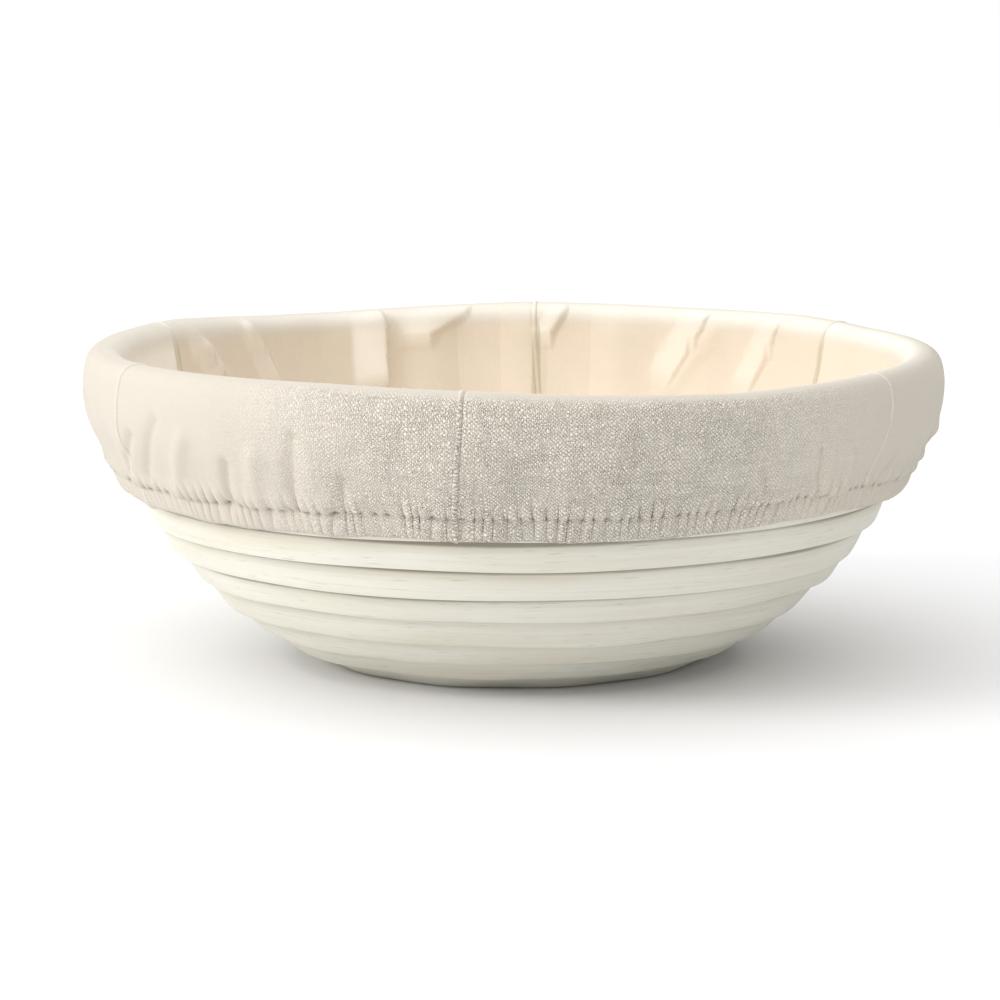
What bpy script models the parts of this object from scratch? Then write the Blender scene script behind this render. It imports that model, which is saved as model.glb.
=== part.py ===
"""A round proofing basket for bread dough: a bowl built from bent cane, with a sewn cloth liner.

The flat base is one cane wound on itself. The wall is a stack of cane hoops, each with its two ends
cut on a slant and lapped, and nailed down through its edge into the cane below. The liner is sewn
from gores, lies inside the bowl and turns down over the rim, where an elastic in its hem holds it.

Metres, +Z up, -Y is the front. The origin is the middle of the underside. Every piece is drawn on
the same many-sided circle, so that pieces which lie inside one another keep an even gap.
"""

import math

import bmesh
import bpy
from mathutils import Matrix, Vector

# Bowl
BASE_RADIUS = 0.0479
BASE_INSET = 0.0012  # how far the base stops short of the lowest hoop's foot
WALL_BEND = 0.098  # radius of the arc that the wall's outer face follows
WALL_START = math.radians(21.0)  # slope of that arc where it leaves the base
HOOP_PITCHES = (  # how far up the wall each hoop reaches, lowest first: split cane varies in width
    0.0112, 0.0103, 0.0102, 0.0109, 0.0087, 0.0098, 0.0091, 0.0091, 0.0091, 0.0091, 0.0090,
)
LAP_TILT = math.radians(8.0)  # how much steeper than the wall each hoop stands; the lowest, half that

# Cane
BASE_CANE_PITCH = 0.0108
CANE_GAP = 0.0004
CANE_THICK = 0.006
CANE_EDGE = 0.0006  # height of the outer edge's rounding
SCARF_LENGTH = 0.014
EYE_RADIUS = 0.0035  # hole that the first turn leaves in the middle of the base
JOG_START = math.radians(40.0)  # where each turn of the base starts to step out by one cane
JOG_SPAN = math.radians(90.0)
TAIL_WIDTH = 0.0012  # width of the cane's cut tip at the end of the base

# Nails
NAIL_RADIUS = 0.0006
NAIL_CLEARANCE = 0.0004
NAIL_GRIP = 0.0042  # how far a nail goes on into the cane below
BASE_NAIL_LENGTH = 0.0155
NAIL_BESIDE_SCARF = math.radians(17.0)
OUTER_BASE_NAILS = [math.radians(a) for a in (12.0, 165.0, 270.0)]
INNER_BASE_NAILS = [math.radians(a) for a in (205.0, 240.0, 325.0)]

# Liner
CLOTH = 0.0005
CLOTH_CLEARANCE = 0.0006
RIM_SETTLE = 0.0024  # how far below the rim's edge the middle of the cloth's bend lies
HEM_CLEARANCE = 0.0010  # the same outside, where the hoops' lower edges stand out
SEAM_GAP = 0.0004
POLE_RADIUS = 0.0020  # where the gores' points meet in the middle
SEAMS = [math.radians(a) for a in (32.0, 86.0, 155.0, 208.0, 263.0, 326.0)]
FLAP_DROP = 0.0345  # height of the turned-down flap, from the rim's top to the hem's edge
FLAP_STAND_OFF = ((0.12, 0.0034), (0.36, 0.0042), (0.62, 0.0038), (0.80, 0.0032))  # down it, off the wall
HEM_STAND_OFF = 0.0026
HEM_CASING = 0.0070
ELASTIC_WIDTH = 0.005
ELASTIC_THICK = 0.0005
ELASTIC_GAP = 0.0003
THREAD_RADIUS = 0.0003

FACET = math.radians(10.0)  # one side of the many-sided circle
RIM_STEPS = 3
WALL_STEPS = 5

HOOPS = len(HOOP_PITCHES)
WALL_LENGTH = sum(HOOP_PITCHES)
WALL_CENTRE = (
    BASE_RADIUS - WALL_BEND * math.sin(WALL_START),
    WALL_BEND * math.cos(WALL_START),
)


def clear_scene():
    for thing in list(bpy.data.objects):
        bpy.data.objects.remove(thing)


def make_material(name, colour, roughness, metallic=0.0):
    material = bpy.data.materials.new(name)
    material.use_nodes = True
    shader = material.node_tree.nodes["Principled BSDF"]
    shader.inputs["Base Color"].default_value = (*colour, 1.0)
    shader.inputs["Roughness"].default_value = roughness
    shader.inputs["Metallic"].default_value = metallic
    return material


def place_object(name, mesh, material):
    thing = bpy.data.objects.new(name, mesh)
    bpy.context.scene.collection.objects.link(thing)
    if material:
        mesh.materials.append(material)
    return thing


# The many-sided circle and the wall's arc


def on_ring(radius, angle, height):
    """The point at that angle on the many-sided circle whose corners lie at radius."""
    past_corner = angle % FACET
    flat = radius * math.cos(FACET / 2) / math.cos(past_corner - FACET / 2)
    return Vector((flat * math.cos(angle), flat * math.sin(angle), height))


def corners_between(start, end):
    """Start, every corner of the many-sided circle between, and end."""
    margin = FACET * 0.02
    first = math.floor((start + margin) / FACET) + 1
    last = math.ceil((end - margin) / FACET) - 1
    return [start, *(FACET * k for k in range(first, last + 1)), end]


def wall_slope(along):
    return WALL_START + along / WALL_BEND


def wall_point(along, inward):
    """(radius, height) at that length up the wall's outer arc, moved inward along its normal."""
    slope = wall_slope(along)
    reach = WALL_BEND - inward
    return (
        WALL_CENTRE[0] + reach * math.sin(slope),
        WALL_CENTRE[1] - reach * math.cos(slope),
    )


RIM_RADIUS, RIM_HEIGHT = wall_point(WALL_LENGTH, CANE_THICK / 2)


# Cane


def cane_outline(width):
    """A cane's section as (across, deep): a low crown outside, half an ellipse inside."""
    half = width / 2
    outline = [(-half, CANE_EDGE), (-half / 2, 0.0), (half / 2, 0.0)]
    depth = CANE_THICK - CANE_EDGE
    for k in range(5):
        turn = math.pi * k / 5
        outline.append((half * math.cos(turn), CANE_EDGE + depth * math.sin(turn)))
    return outline


def skin_of_loops(loops, name):
    """A closed mesh through loops of equal length, capped at both ends."""
    form = bmesh.new()
    rings = [[form.verts.new(p) for p in loop] for loop in loops]
    for a, b in zip(rings, rings[1:]):
        for k in range(len(a)):
            after = (k + 1) % len(a)
            form.faces.new((a[k], a[after], b[after], b[k]))
    form.faces.new(rings[0])
    form.faces.new(rings[-1])
    bmesh.ops.recalc_face_normals(form, faces=form.faces)
    mesh = bpy.data.meshes.new(name)
    form.to_mesh(mesh)
    form.free()
    mesh.shade_smooth()
    mesh.set_sharp_from_angle(angle=math.radians(35.0))
    return mesh


def hoop_foot(number):
    """How far up the wall hoop number starts."""
    return sum(HOOP_PITCHES[: number - 1])


def hoop_middle(number):
    return hoop_foot(number) + HOOP_PITCHES[number - 1] / 2


def hoop_width(number):
    return HOOP_PITCHES[number - 1] - CANE_GAP


def hoop_point(number, across, deep):
    """(radius, height) of a point of hoop number's section."""
    middle = hoop_middle(number)
    lean = wall_slope(middle) + LAP_TILT * (0.5 if number == 1 else 1.0)
    radius, height = wall_point(middle, 0.0)
    return (
        radius + across * math.cos(lean) - deep * math.sin(lean),
        height + across * math.sin(lean) + deep * math.cos(lean),
    )


def scarf_angle(number):
    """The hoops' lapped ends take turns on either side of the back."""
    return math.radians(60.0) if number % 2 else math.radians(120.0)


def hoop_mesh(number, name):
    outline = cane_outline(hoop_width(number))
    start = scarf_angle(number)
    points = [hoop_point(number, across, deep) for across, deep in outline]
    steps = round(2 * math.pi / FACET)
    loops = []
    for step in range(steps + 1):
        corner = start + FACET * step
        if 0 < step < steps:
            loops.append([on_ring(radius, corner, height) for radius, height in points])
            continue
        cut, bend = [], []
        for (radius, height), (_, deep) in zip(points, outline):
            slant = (deep / CANE_THICK - 0.5) * SCARF_LENGTH / radius
            if step:
                slant -= CANE_GAP / radius
            cut.append(on_ring(radius, corner + slant, height))
            inside = slant > 0 if step else slant < 0
            beside = corner if inside else corner + (slant + (-FACET if step else FACET)) / 2
            bend.append(on_ring(radius, beside, height))
        loops.extend((bend, cut) if step else (cut, bend))
    return skin_of_loops(loops, name)


# The base: each turn is round, and steps out by one cane's width within the jog


def turns_out(angle):
    """How many canes' widths the winding has moved out, angle radians after the start of a jog."""
    whole, part = divmod(angle, 2 * math.pi)
    share = min(1.0, part / JOG_SPAN)
    return whole + share * share * (3 - 2 * share)


BASE_EDGE = BASE_RADIUS - BASE_INSET
BASE_TURNS = round((BASE_EDGE - EYE_RADIUS) / BASE_CANE_PITCH)
BASE_PITCH = (BASE_EDGE - EYE_RADIUS) / BASE_TURNS


def base_mesh(name):
    """The winding starts beside the eye and ends in a tail that narrows beside the last jog."""
    outline = cane_outline(BASE_PITCH - CANE_GAP)
    end = 2 * math.pi * (BASE_TURNS - 1) + JOG_SPAN
    stops = corners_between(JOG_START + JOG_SPAN - 2 * math.pi, JOG_START + end)
    loops = []
    for stop in stops:
        angle = stop - JOG_START
        outer = EYE_RADIUS + BASE_PITCH * (1 + turns_out(angle))
        inner = outer - BASE_PITCH + CANE_GAP
        outer = min(outer, BASE_EDGE)
        if outer - inner < TAIL_WIDTH:
            break
        middle = (outer + inner) / 2
        scale = (outer - inner) / (BASE_PITCH - CANE_GAP)
        loops.append([on_ring(middle + across * scale, stop, deep) for across, deep in outline])
    return skin_of_loops(loops, name)


# Nails: each runs down through a hoop's edge, along its middle, into the cane below


def nail_line(number):
    """(radius, height) where hoop number meets the cane below, and the slope of its nails there."""
    below = wall_slope(hoop_middle(number - 1)) if number > 1 else 0.0
    slope = 0.7 * wall_slope(hoop_middle(number)) + 0.3 * below
    return wall_point(hoop_foot(number), CANE_THICK / 2), slope


def nail_angles(number):
    scarf = scarf_angle(number)
    return [scarf - NAIL_BESIDE_SCARF, scarf + NAIL_BESIDE_SCARF, scarf + math.pi - FACET * 0.4]


def nail_frame(number, angle):
    """A matrix whose +Z runs up the nails' line at that angle, from where the two canes meet."""
    (radius, height), slope = nail_line(number)
    out = Vector((math.cos(angle), math.sin(angle), 0.0))
    up = out * math.cos(slope) + Vector((0.0, 0.0, math.sin(slope)))
    turned = up.to_track_quat("Z", "Y").to_matrix().to_4x4()
    return Matrix.Translation(on_ring(radius, angle, height)) @ turned


def base_nail_frame(radius, angle):
    """A matrix whose +Z runs outward through the base from that radius."""
    out = Vector((math.cos(angle), math.sin(angle), 0.0))
    turned = out.to_track_quat("Z", "Y").to_matrix().to_4x4()
    return Matrix.Translation(on_ring(radius, angle, CANE_THICK / 2)) @ turned


def add_rod(form, frame, radius, low, high, sides=6):
    made = bmesh.ops.create_cone(
        form, cap_ends=True, segments=sides, radius1=radius, radius2=radius, depth=high - low,
        matrix=frame @ Matrix.Translation((0.0, 0.0, (low + high) / 2)),
    )
    return made["verts"]


def rods_mesh(name, rods, radius):
    """rods are (frame, low, high) along each frame's Z."""
    form = bmesh.new()
    for frame, low, high in rods:
        add_rod(form, frame, radius, low, high)
    bmesh.ops.recalc_face_normals(form, faces=form.faces)
    mesh = bpy.data.meshes.new(name)
    form.to_mesh(mesh)
    form.free()
    return mesh


def hoop_nails(number):
    """(frame, low, high) of each of the hoop's own nails."""
    top = hoop_width(number) - NAIL_CLEARANCE
    return [(nail_frame(number, a), -NAIL_GRIP, top) for a in nail_angles(number)]


def base_nails():
    """Three nails fix the outer turn to the next one, and three fix the two turns inside those."""
    outer = BASE_EDGE - 2 * CANE_GAP - BASE_NAIL_LENGTH
    inner = outer - 2 * BASE_PITCH
    reach = (0.0, BASE_NAIL_LENGTH - NAIL_CLEARANCE)
    return [
        *((base_nail_frame(outer, a), *reach) for a in OUTER_BASE_NAILS),
        *((base_nail_frame(inner, a), *reach) for a in INNER_BASE_NAILS),
    ]


def drill(thing, rods, through):
    """Cuts the nails' holes. A hole is blind at its low end, and runs on out of the cane above."""
    grown = [(frame, low - NAIL_CLEARANCE, high + through) for frame, low, high in rods]
    mesh = rods_mesh(thing.name + "_drill", grown, NAIL_RADIUS + NAIL_CLEARANCE)
    cutter = place_object(thing.name + "_drill", mesh, None)
    cutter.hide_render = True
    cutter.display_type = "WIRE"
    hole = thing.modifiers.new("nail holes", "BOOLEAN")
    hole.operation = "DIFFERENCE"
    hole.solver = "EXACT"
    hole.object = cutter


# Liner


def liner_inside():
    """(radius, height) along the cloth's middle, from the pole up the inside to the rim."""
    inward = CANE_THICK + CLOTH_CLEARANCE + CLOTH / 2
    floor = CANE_THICK + CLOTH_CLEARANCE + CLOTH / 2
    reach = WALL_BEND - inward
    low = math.acos((WALL_CENTRE[1] - floor) / reach)
    high = wall_slope(WALL_LENGTH)
    path = [(POLE_RADIUS, floor)]
    for k in range(WALL_STEPS + 1):
        slope = low + (high - low) * k / WALL_STEPS
        path.append((WALL_CENTRE[0] + reach * math.sin(slope), WALL_CENTRE[1] - reach * math.cos(slope)))
    return path


def liner_rim():
    """The bend over the rim's cane, from the inside to the outside."""
    bend = CANE_THICK / 2 + CLOTH_CLEARANCE + CLOTH
    lean = wall_slope(WALL_LENGTH)
    middle = wall_point(WALL_LENGTH - RIM_SETTLE, CANE_THICK / 2)
    path = []
    for k in range(1, RIM_STEPS + 1):
        turn = lean + math.pi / 2 - math.pi * 0.94 * k / (RIM_STEPS + 1)
        path.append((middle[0] + bend * math.cos(turn), middle[1] + bend * math.sin(turn)))
    return path


def flap_point(share, stand_off):
    """(radius, height) that share of the way down the flap, at that distance off the wall."""
    top = wall_point(WALL_LENGTH, 0.0)[1]
    low = RIM_HEIGHT - FLAP_DROP
    height = top + (low - top) * share
    reach = WALL_BEND + stand_off
    return WALL_CENTRE[0] + math.sqrt(reach**2 - (WALL_CENTRE[1] - height) ** 2), height


def liner_flap():
    """Down the outside, round the hem's edge and back up behind the elastic."""
    path = [flap_point(share, off) for share, off in FLAP_STAND_OFF]
    path.append(flap_point(1.0, HEM_STAND_OFF + CLOTH / 2))
    casing = HEM_CASING / FLAP_DROP
    behind = HEM_CLEARANCE + CLOTH / 2
    path.append(flap_point(1.0, behind + CLOTH))
    path.append(flap_point(1.0 - casing * 0.15, behind))
    path.append(flap_point(1.0 - casing, behind))
    return path


def thickened(path, thick):
    """The closed outline of a strip with that thickness along path."""
    points = [Vector(p) for p in path]
    sides = [], []
    for k, point in enumerate(points):
        before = points[max(k - 1, 0)]
        after = points[min(k + 1, len(points) - 1)]
        along = (after - before).normalized()
        across = Vector((-along.y, along.x))
        part = (point - before).normalized() if k else along
        spread = thick / 2 / max(0.6, across.dot(Vector((-part.y, part.x))))
        sides[0].append(point + across * spread)
        sides[1].append(point - across * spread)
    return sides[0] + sides[1][::-1]


def gore_mesh(start, end, name):
    """One gore: the cloth's outline swept from one seam to the next, a seam's gap short of both."""
    outline = thickened(liner_inside() + liner_rim() + liner_flap(), CLOTH)
    stops = corners_between(start, end)
    loops = []
    for k, stop in enumerate(stops):
        side = Vector((-math.sin(stop), math.cos(stop), 0.0)) * SEAM_GAP / 2
        loop = [on_ring(p.x, stop, p.y) for p in outline]
        if k == 0:
            loop = [p + side for p in loop]
        if k == len(stops) - 1:
            loop = [p - side for p in loop]
        loops.append(loop)
    return skin_of_loops(loops, name)


def ring_mesh(outline, name):
    """A closed ring whose section is outline, as (radius, height)."""
    form = bmesh.new()
    steps = round(2 * math.pi / FACET)
    rings = [
        [form.verts.new(on_ring(radius, FACET * step, height)) for radius, height in outline]
        for step in range(steps)
    ]
    for step, ring in enumerate(rings):
        beside = rings[(step + 1) % steps]
        for k in range(len(ring)):
            after = (k + 1) % len(ring)
            form.faces.new((ring[k], ring[after], beside[after], beside[k]))
    bmesh.ops.recalc_face_normals(form, faces=form.faces)
    mesh = bpy.data.meshes.new(name)
    form.to_mesh(mesh)
    form.free()
    return mesh


def elastic_outline():
    """A flat band standing in the hem's casing, along the wall."""
    width = ELASTIC_WIDTH / FLAP_DROP
    low = 1.0 - 0.0012 / FLAP_DROP
    near = HEM_CLEARANCE + CLOTH + ELASTIC_GAP
    far = near + ELASTIC_THICK
    return [
        flap_point(low, near),
        flap_point(low, far),
        flap_point(low - width, far),
        flap_point(low - width, near),
    ]


def thread_outline():
    """The hem's line of stitches, just outside the cloth above the elastic."""
    share = 1.0 - HEM_CASING / FLAP_DROP
    stand_off = FLAP_STAND_OFF[-1][1] + CLOTH + THREAD_RADIUS + CANE_GAP
    radius, height = flap_point(share, stand_off)
    return [
        (radius + THREAD_RADIUS * math.cos(a), height + THREAD_RADIUS * math.sin(a))
        for a in (k * math.pi / 2 for k in range(4))
    ]


def build():
    clear_scene()
    cane = make_material("cane", (0.80, 0.74, 0.62), 0.55)
    steel = make_material("nail_steel", (0.62, 0.60, 0.57), 0.35, 1.0)
    linen = make_material("linen", (0.78, 0.72, 0.63), 0.95)
    rubber = make_material("elastic", (0.86, 0.84, 0.80), 0.8)
    cotton = make_material("thread", (0.84, 0.80, 0.72), 0.85)

    base = place_object("base_winding", base_mesh("base_winding"), cane)
    drill(base, base_nails(), CANE_GAP * 2)
    drill(base, hoop_nails(1), 0.0)
    for number in range(1, HOOPS + 1):
        name = f"wall_hoop_{number:02d}"
        hoop = place_object(name, hoop_mesh(number, name), cane)
        drill(hoop, hoop_nails(number), hoop_width(number) * 0.25)
        if number < HOOPS:
            above = [(frame, low, 0.0) for frame, low, _ in hoop_nails(number + 1)]
            drill_above = [(frame, low, high) for frame, low, high in above]
            drill(hoop, drill_above, CANE_GAP * 3)

    for number in range(1, HOOPS + 1):
        for k, rod in enumerate(hoop_nails(number)):
            name = f"hoop_nail_{number:02d}_{'abc'[k]}"
            place_object(name, rods_mesh(name, [rod], NAIL_RADIUS), steel)
    for k, rod in enumerate(base_nails()):
        name = f"base_nail_{k + 1}"
        place_object(name, rods_mesh(name, [rod], NAIL_RADIUS), steel)

    for k, start in enumerate(SEAMS):
        end = SEAMS[(k + 1) % len(SEAMS)]
        if end < start:
            end += 2 * math.pi
        name = f"liner_gore_{k + 1}"
        place_object(name, gore_mesh(start, end, name), linen)
    place_object("hem_elastic", ring_mesh(elastic_outline(), "hem_elastic"), rubber)
    place_object("hem_thread", ring_mesh(thread_outline(), "hem_thread"), cotton)


build()
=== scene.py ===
"""A round proofing basket: a bowl of stacked cane with a sewn linen liner turned down over its rim."""

import math

import bpy
import numpy as np
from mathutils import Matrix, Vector


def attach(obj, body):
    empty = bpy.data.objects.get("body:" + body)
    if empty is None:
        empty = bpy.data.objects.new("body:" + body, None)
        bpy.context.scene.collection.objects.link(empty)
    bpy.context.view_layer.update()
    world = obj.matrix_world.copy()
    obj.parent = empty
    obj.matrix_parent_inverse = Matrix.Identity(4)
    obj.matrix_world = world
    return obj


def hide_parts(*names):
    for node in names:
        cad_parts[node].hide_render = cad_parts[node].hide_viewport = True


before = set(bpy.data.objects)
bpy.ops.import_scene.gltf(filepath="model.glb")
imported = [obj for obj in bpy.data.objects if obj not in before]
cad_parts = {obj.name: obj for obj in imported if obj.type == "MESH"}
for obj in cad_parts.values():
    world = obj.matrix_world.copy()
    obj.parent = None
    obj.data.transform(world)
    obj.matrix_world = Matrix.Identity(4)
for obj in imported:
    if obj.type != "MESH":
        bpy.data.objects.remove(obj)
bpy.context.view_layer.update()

# ---------------------------------------------------------------------------------------------
# Base winding. The bowl starts as one split rattan cane wound flat on itself, rough side down.
# The cane is oval inside and nearly flat outside, and each turn steps out by one cane's width.
# ---------------------------------------------------------------------------------------------

BASE_EDGE = 0.0467
CANE_GAP = 0.00025
CANE_THICK = 0.0058
CANE_CROWN = 0.0009  # how far the outer face falls away towards its upper edge
CANE_SHOULDER = 0.00045  # depth of the round at each edge of the outer face
EYE_RADIUS = 0.0035
JOG_START = math.radians(40.0)
JOG_SPAN = math.radians(90.0)  # how much of a turn the cane takes to step out
BASE_TURNS = 4
BASE_PITCH = (BASE_EDGE - EYE_RADIUS) / BASE_TURNS
BASE_STEP = math.radians(3.0)
TAIL_WIDTH = 0.0012
SECTION_POINTS = 30

chance = np.random.default_rng(11)


def cane_section(width):
    """(across, deep) round the cane: nearly flat outside, fuller at its lower lip, half an oval inside."""
    turn = 2 * np.pi * np.arange(SECTION_POINTS) / SECTION_POINTS
    across = np.sign(np.cos(turn)) * np.abs(np.cos(turn)) ** 0.7
    side = np.sin(turn)
    face = CANE_CROWN * np.clip(across, 0, 1) ** 2
    outside = face + CANE_SHOULDER * (1 - np.clip(-side, 0, 1) ** 0.45)
    edge = face + CANE_SHOULDER
    inside = edge + (CANE_THICK - edge) * np.clip(side, 0, 1) ** 0.9
    return across * width / 2, np.where(side > 0, inside, outside)


def slow_sway(angle, low, high, count):
    """A smooth wandering between about -1 and 1 that closes on itself after one turn."""
    cycles = chance.integers(low, high, count)
    starts = chance.uniform(0, 2 * np.pi, count)
    return sum(np.sin(c * angle + s) for c, s in zip(cycles, starts)) / math.sqrt(count)


def put(name, data):
    """An object of that mesh, light or camera, linked into the scene."""
    thing = bpy.data.objects.new(name, data)
    bpy.context.scene.collection.objects.link(thing)
    return thing


def carry(mesh, name, values):
    """Stores a vector of that name at each point of the mesh, for a material to read."""
    layer = mesh.attributes.new(name, "FLOAT_VECTOR", "POINT")
    layer.data.foreach_set("vector", np.asarray(values).reshape(-1, 3).astype(np.float32).ravel())


def skin(name, points, grain):
    """A mesh over loops of points, which carries the cane's own directions for its grain."""
    loops, across = points.shape[:2]
    corner = np.arange(loops * across).reshape(loops, across)
    beside = np.roll(corner, -1, axis=1)
    faces = np.stack([corner[:-1], beside[:-1], beside[1:], corner[1:]], axis=-1).reshape(-1, 4).tolist()
    faces += [corner[0][::-1].tolist(), corner[-1].tolist()]
    mesh = bpy.data.meshes.new(name)
    mesh.from_pydata(points.reshape(-1, 3).tolist(), [], faces)
    carry(mesh, "grain", grain)
    mesh.shade_smooth()
    mesh.set_sharp_from_angle(angle=math.radians(50.0))
    mesh.update()
    return put(name, mesh)


def turns_out(angle):
    """How many canes' widths the winding has stepped out by that angle."""
    whole, part = np.divmod(angle, 2 * np.pi)
    share = np.minimum(1.0, part / JOG_SPAN)
    return whole + share * share * (3 - 2 * share)


def base_winding():
    """The cane laid flat in circles, with one smooth jog outwards in each turn and thinned ends."""
    width = BASE_PITCH - CANE_GAP
    across, deep = cane_section(width)
    end = 2 * np.pi * (BASE_TURNS - 1) + JOG_SPAN
    angle = np.arange(JOG_SPAN - 2 * np.pi, end, BASE_STEP)
    outer = EYE_RADIUS + BASE_PITCH * (1 + turns_out(angle))
    inner = outer - width
    outer = np.minimum(outer, BASE_EDGE)
    kept = outer - inner >= TAIL_WIDTH
    angle, outer, inner = angle[kept], outer[kept], inner[kept]
    radius = (outer + inner)[:, None] / 2 + across * ((outer - inner) / width)[:, None]
    place = (angle + JOG_START)[:, None]
    height = np.broadcast_to(deep, radius.shape)
    points = np.stack([radius * np.cos(place), radius * np.sin(place), height], -1)
    length = np.cumsum(np.append(0.0, np.diff(angle) * (outer + inner)[1:] / 2))
    # The second value is the distance in from the cane's outer edge, which the material darkens as painted
    # shade.
    grain = np.stack(np.broadcast_arrays(length[:, None], across - width / 2, deep), -1)
    return skin("cane_base", points, grain)


def new_group(name, inputs, outputs):
    """An empty shader group with those sockets: inputs are (name, kind, value)."""
    group = bpy.data.node_groups.new(name, "ShaderNodeTree")
    for label, kind, value in inputs:
        socket = group.interface.new_socket(label, in_out="INPUT", socket_type=kind)
        if value is not None:
            socket.default_value = value
    for label, kind in outputs:
        group.interface.new_socket(label, in_out="OUTPUT", socket_type=kind)
    return group, group.nodes.new("NodeGroupInput").outputs, group.nodes.new("NodeGroupOutput").inputs


def add(tree, kind, settings=(), **inputs):
    """A new node. Each input is a value, or an output to link, named by its label or _ and its place."""
    node = tree.nodes.new(kind)
    for label, value in dict(settings).items():
        setattr(node, label, value)
    for label, value in inputs.items():
        place = label[1:]
        socket = node.inputs[int(place) if place.isdigit() else label.replace("_", " ")]
        if isinstance(value, bpy.types.NodeSocket):
            tree.links.new(value, socket)
        else:
            socket.default_value = value
    return node


def sums(tree, operation, first, second=0.0, third=None):
    """One arithmetic step of two or three values."""
    more = {} if third is None else {"_2": third}
    return add(tree, "ShaderNodeMath", {"operation": operation}, _0=first, _1=second, **more).outputs[0]


def blend_colours(tree, share, first, second):
    return add(tree, "ShaderNodeMix", {"data_type": "RGBA"}, _0=share, _6=first, _7=second).outputs[2]


def spread(tree, value, low, high, to_low=0.0, to_high=1.0):
    """The range low to high, stretched smoothly over another and held at its ends."""
    return add(
        tree, "ShaderNodeMapRange", {"interpolation_type": "SMOOTHSTEP"},
        Value=value, From_Min=low, From_Max=high, To_Min=to_low, To_Max=to_high,
    ).outputs[0]


def noise(tree, where, scale, detail=2.0, rough=0.5):
    return add(
        tree, "ShaderNodeTexNoise", {}, Vector=where, Scale=scale, Detail=detail, Roughness=rough
    ).outputs["Fac"]


def stretched(tree, where, scale):
    return add(tree, "ShaderNodeVectorMath", {"operation": "MULTIPLY"}, _0=where, _1=scale).outputs[0]


def carried(tree, name):
    """The vector of that name which the mesh carries."""
    return add(tree, "ShaderNodeAttribute", {"attribute_name": name}).outputs["Vector"]


def parted(tree, vector):
    return add(tree, "ShaderNodeSeparateXYZ", {}, Vector=vector).outputs


def fibre_group():
    """Long fibres, the fine pores between them, and slow changes of tone along the cane."""
    group, given, made = new_group(
        "cane fibres",
        [("Where", "NodeSocketVector", None)],
        [("Fibre", "NodeSocketFloat"), ("Pore", "NodeSocketFloat"), ("Tone", "NodeSocketFloat")],
    )
    where = given["Where"]
    fibre = noise(group, stretched(group, where, (22.0, 1500.0, 1500.0)), 1.0, 4.0, 0.62)
    pore = noise(group, stretched(group, where, (130.0, 2600.0, 2600.0)), 1.0, 1.0, 0.5)
    tone = noise(group, stretched(group, where, (14.0, 190.0, 190.0)), 1.0, 3.0, 0.55)
    group.links.new(fibre, made["Fibre"])
    group.links.new(spread(group, pore, 0.66, 0.76), made["Pore"])
    group.links.new(tone, made["Tone"])
    return group


def new_material(name):
    material = bpy.data.materials.new(name)
    material.use_nodes = True
    return material, material.node_tree, material.node_tree.nodes["Principled BSDF"]


def cane_material():
    """Bleached split rattan: fine pale fibres, with painted shade and a painted shadow line along the upper
    edge, where the cane above overhangs it.
    """
    material, tree, shader = new_material("cane")
    where = carried(tree, "grain")
    fibres = add(tree, "ShaderNodeGroup", {"node_tree": fibre_group()}, Where=where).outputs
    pale, warm = (0.80, 0.785, 0.70, 1.0), (0.76, 0.72, 0.61, 1.0)
    colour = blend_colours(tree, spread(tree, fibres["Tone"], 0.38, 0.72), pale, warm)
    streak = spread(tree, fibres["Fibre"], 0.45, 0.72, 0.0, 0.26)
    colour = blend_colours(tree, streak, colour, (0.60, 0.55, 0.45, 1.0))
    pore = sums(tree, "MULTIPLY", fibres["Pore"], 0.35)
    colour = blend_colours(tree, pore, colour, (0.36, 0.30, 0.21, 1.0))
    # Painted shade: the cane is darkened towards its upper edge, and a painted shadow line runs just under
    # the lip of the cane above.
    from_edge = parted(tree, where)["Y"]
    uneven = spread(tree, fibres["Tone"], 0.3, 0.7, 0.55, 1.0)
    painted_shade = sums(tree, "MULTIPLY", spread(tree, from_edge, -0.0046, -0.0012, 0.0, 0.2), uneven)
    colour = blend_colours(tree, painted_shade, colour, (0.36, 0.33, 0.26, 1.0))
    painted_shadow_line = sums(tree, "MULTIPLY", spread(tree, from_edge, -0.0021, -0.0013, 0.0, 0.75), uneven)
    colour = blend_colours(tree, painted_shadow_line, colour, (0.17, 0.15, 0.11, 1.0))
    height = sums(tree, "SUBTRACT", fibres["Fibre"], sums(tree, "MULTIPLY", fibres["Pore"], 0.5))
    bump = add(tree, "ShaderNodeBump", {}, Strength=0.35, Distance=0.00025, Height=height)
    tree.links.new(colour, shader.inputs["Base Color"])
    tree.links.new(spread(tree, fibres["Fibre"], 0.3, 0.8, 0.5, 0.68), shader.inputs["Roughness"])
    tree.links.new(bump.outputs["Normal"], shader.inputs["Normal"])
    shader.inputs["Specular IOR Level"].default_value = 0.35
    return material


cane = cane_material()
base = base_winding()
base.data.materials.append(cane)
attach(base, "basket")
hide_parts("base_winding")

# ---------------------------------------------------------------------------------------------
# Wall hoops. Eleven hoops of the same cane are bent to size, each lapped and closed on a slant
# at the back. Each stands a little steeper than the wall, so its lower edge covers the one below.
# ---------------------------------------------------------------------------------------------

BOWL_FOOT = 0.0479  # radius where the wall's outer face meets the table
WALL_BEND = 0.098
WALL_START = math.radians(21.0)
WALL_CENTRE = (BOWL_FOOT - WALL_BEND * math.sin(WALL_START), WALL_BEND * math.cos(WALL_START))
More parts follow.
